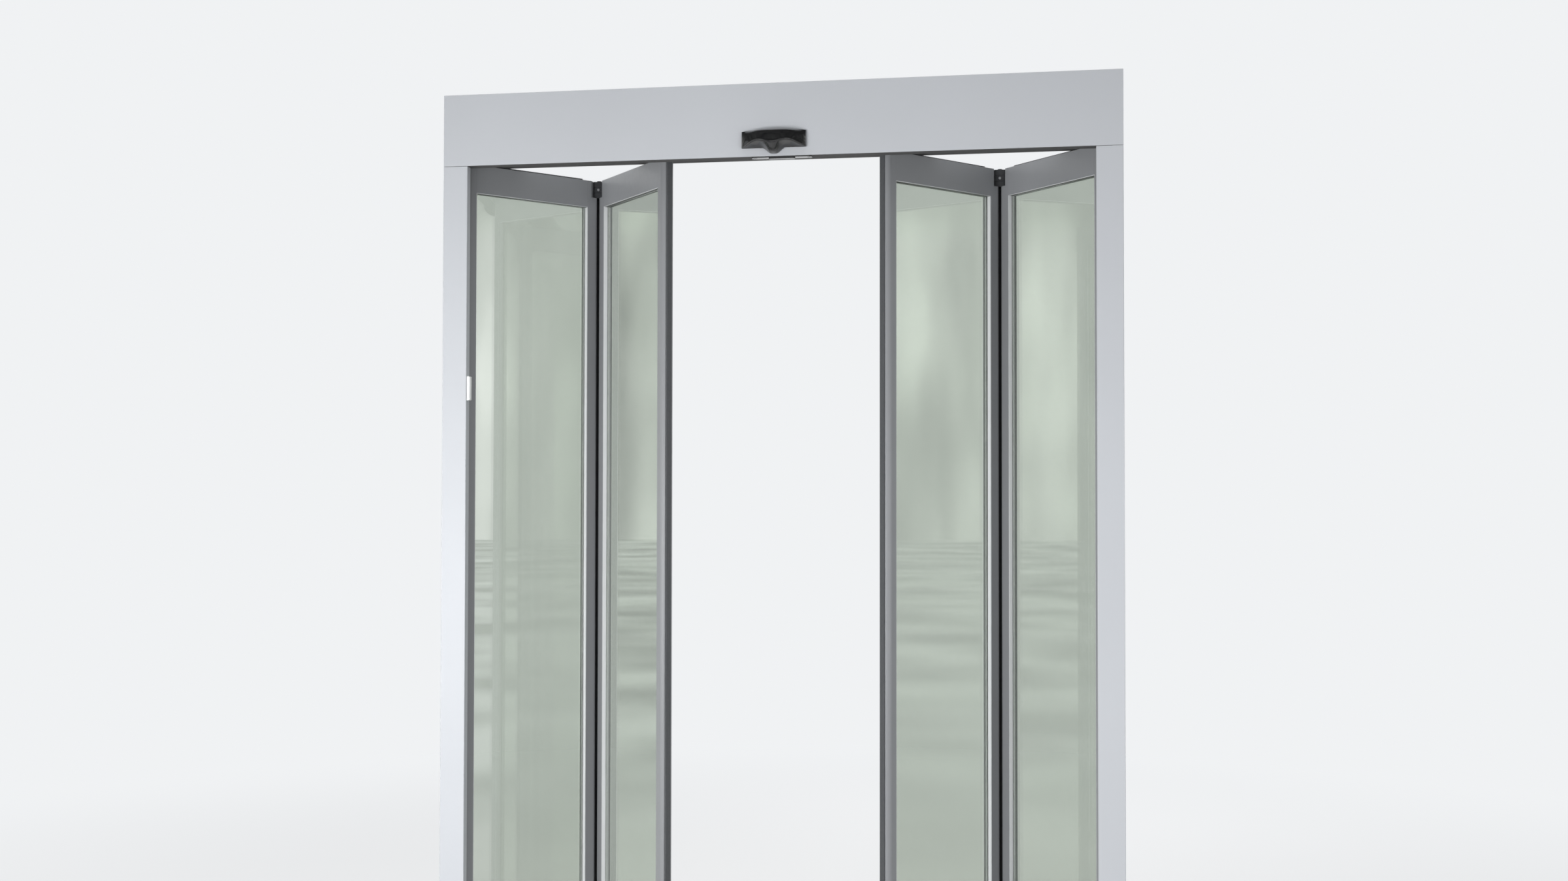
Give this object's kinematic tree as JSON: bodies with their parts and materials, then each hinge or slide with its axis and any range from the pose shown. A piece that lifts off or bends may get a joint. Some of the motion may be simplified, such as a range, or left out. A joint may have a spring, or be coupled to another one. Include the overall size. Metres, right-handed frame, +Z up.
{
  "type": "folding door",
  "caption": "Power-operated glazed folding entrance door in a metal frame, held half open with its leaves folded inward.",
  "frame": {"origin": "middle of the left post's foot face, on the finished floor, seen from outside", "axes": "+X from the left post to the right post, +Y from outside into the building, +Z up"},
  "size_m": [1.838, 0.455, 2.667],
  "materials": {
    "frame_paint": "satin powder coat",
    "leaf_paint": "satin powder coat",
    "mill_aluminium": "mill",
    "glass": "clear polished",
    "rubber": "matt",
    "gasket_grey": "satin",
    "brush": "bristle pile",
    "hinge_black": "satin",
    "bearing_steel": "satin",
    "sensor_black": "gloss",
    "switch_white": "satin"
  },
  "bodies": {
    "root": {"bottom_brushes": "brush", "bottom_hinges": "hinge_black", "floor_bearings": "bearing_steel", "guide_rollers": "bearing_steel", "guide_track": "mill_aluminium", "header_beam": "frame_paint", "header_cover": "frame_paint", "header_end_caps": "frame_paint", "heel_seals": "rubber", "jamb_switch": "switch_white", "left_edge_rubber": "rubber", "left_finger_guard": "rubber", "left_glazing_gaskets": "gasket_grey", "left_jamb_cover": "frame_paint", "left_jamb_post": "frame_paint", "left_lead_bottom_rail": "leaf_paint", "left_lead_glass": "glass", "left_lead_hinge_stile": "leaf_paint", "left_lead_stile": "leaf_paint", "left_lead_top_rail": "leaf_paint", "left_pivot_bottom_rail": "leaf_paint", "left_pivot_glass": "glass", "left_pivot_hinge_stile": "leaf_paint", "left_pivot_stile": "leaf_paint", "left_pivot_top_rail": "leaf_paint", "motion_sensor": "sensor_black", "presence_sensor": "sensor_black", "right_edge_rubber": "rubber", "right_finger_guard": "rubber", "right_glazing_gaskets": "gasket_grey", "right_jamb_cover": "frame_paint", "right_jamb_post": "frame_paint", "right_lead_bottom_rail": "leaf_paint", "right_lead_glass": "glass", "right_lead_hinge_stile": "leaf_paint", "right_lead_stile": "leaf_paint", "right_lead_top_rail": "leaf_paint", "right_pivot_bottom_rail": "leaf_paint", "right_pivot_glass": "glass", "right_pivot_hinge_stile": "leaf_paint", "right_pivot_stile": "leaf_paint", "right_pivot_top_rail": "leaf_paint", "top_bearings": "bearing_steel", "top_brushes": "brush", "top_hinges": "hinge_black"}
  },
  "joints": []
}
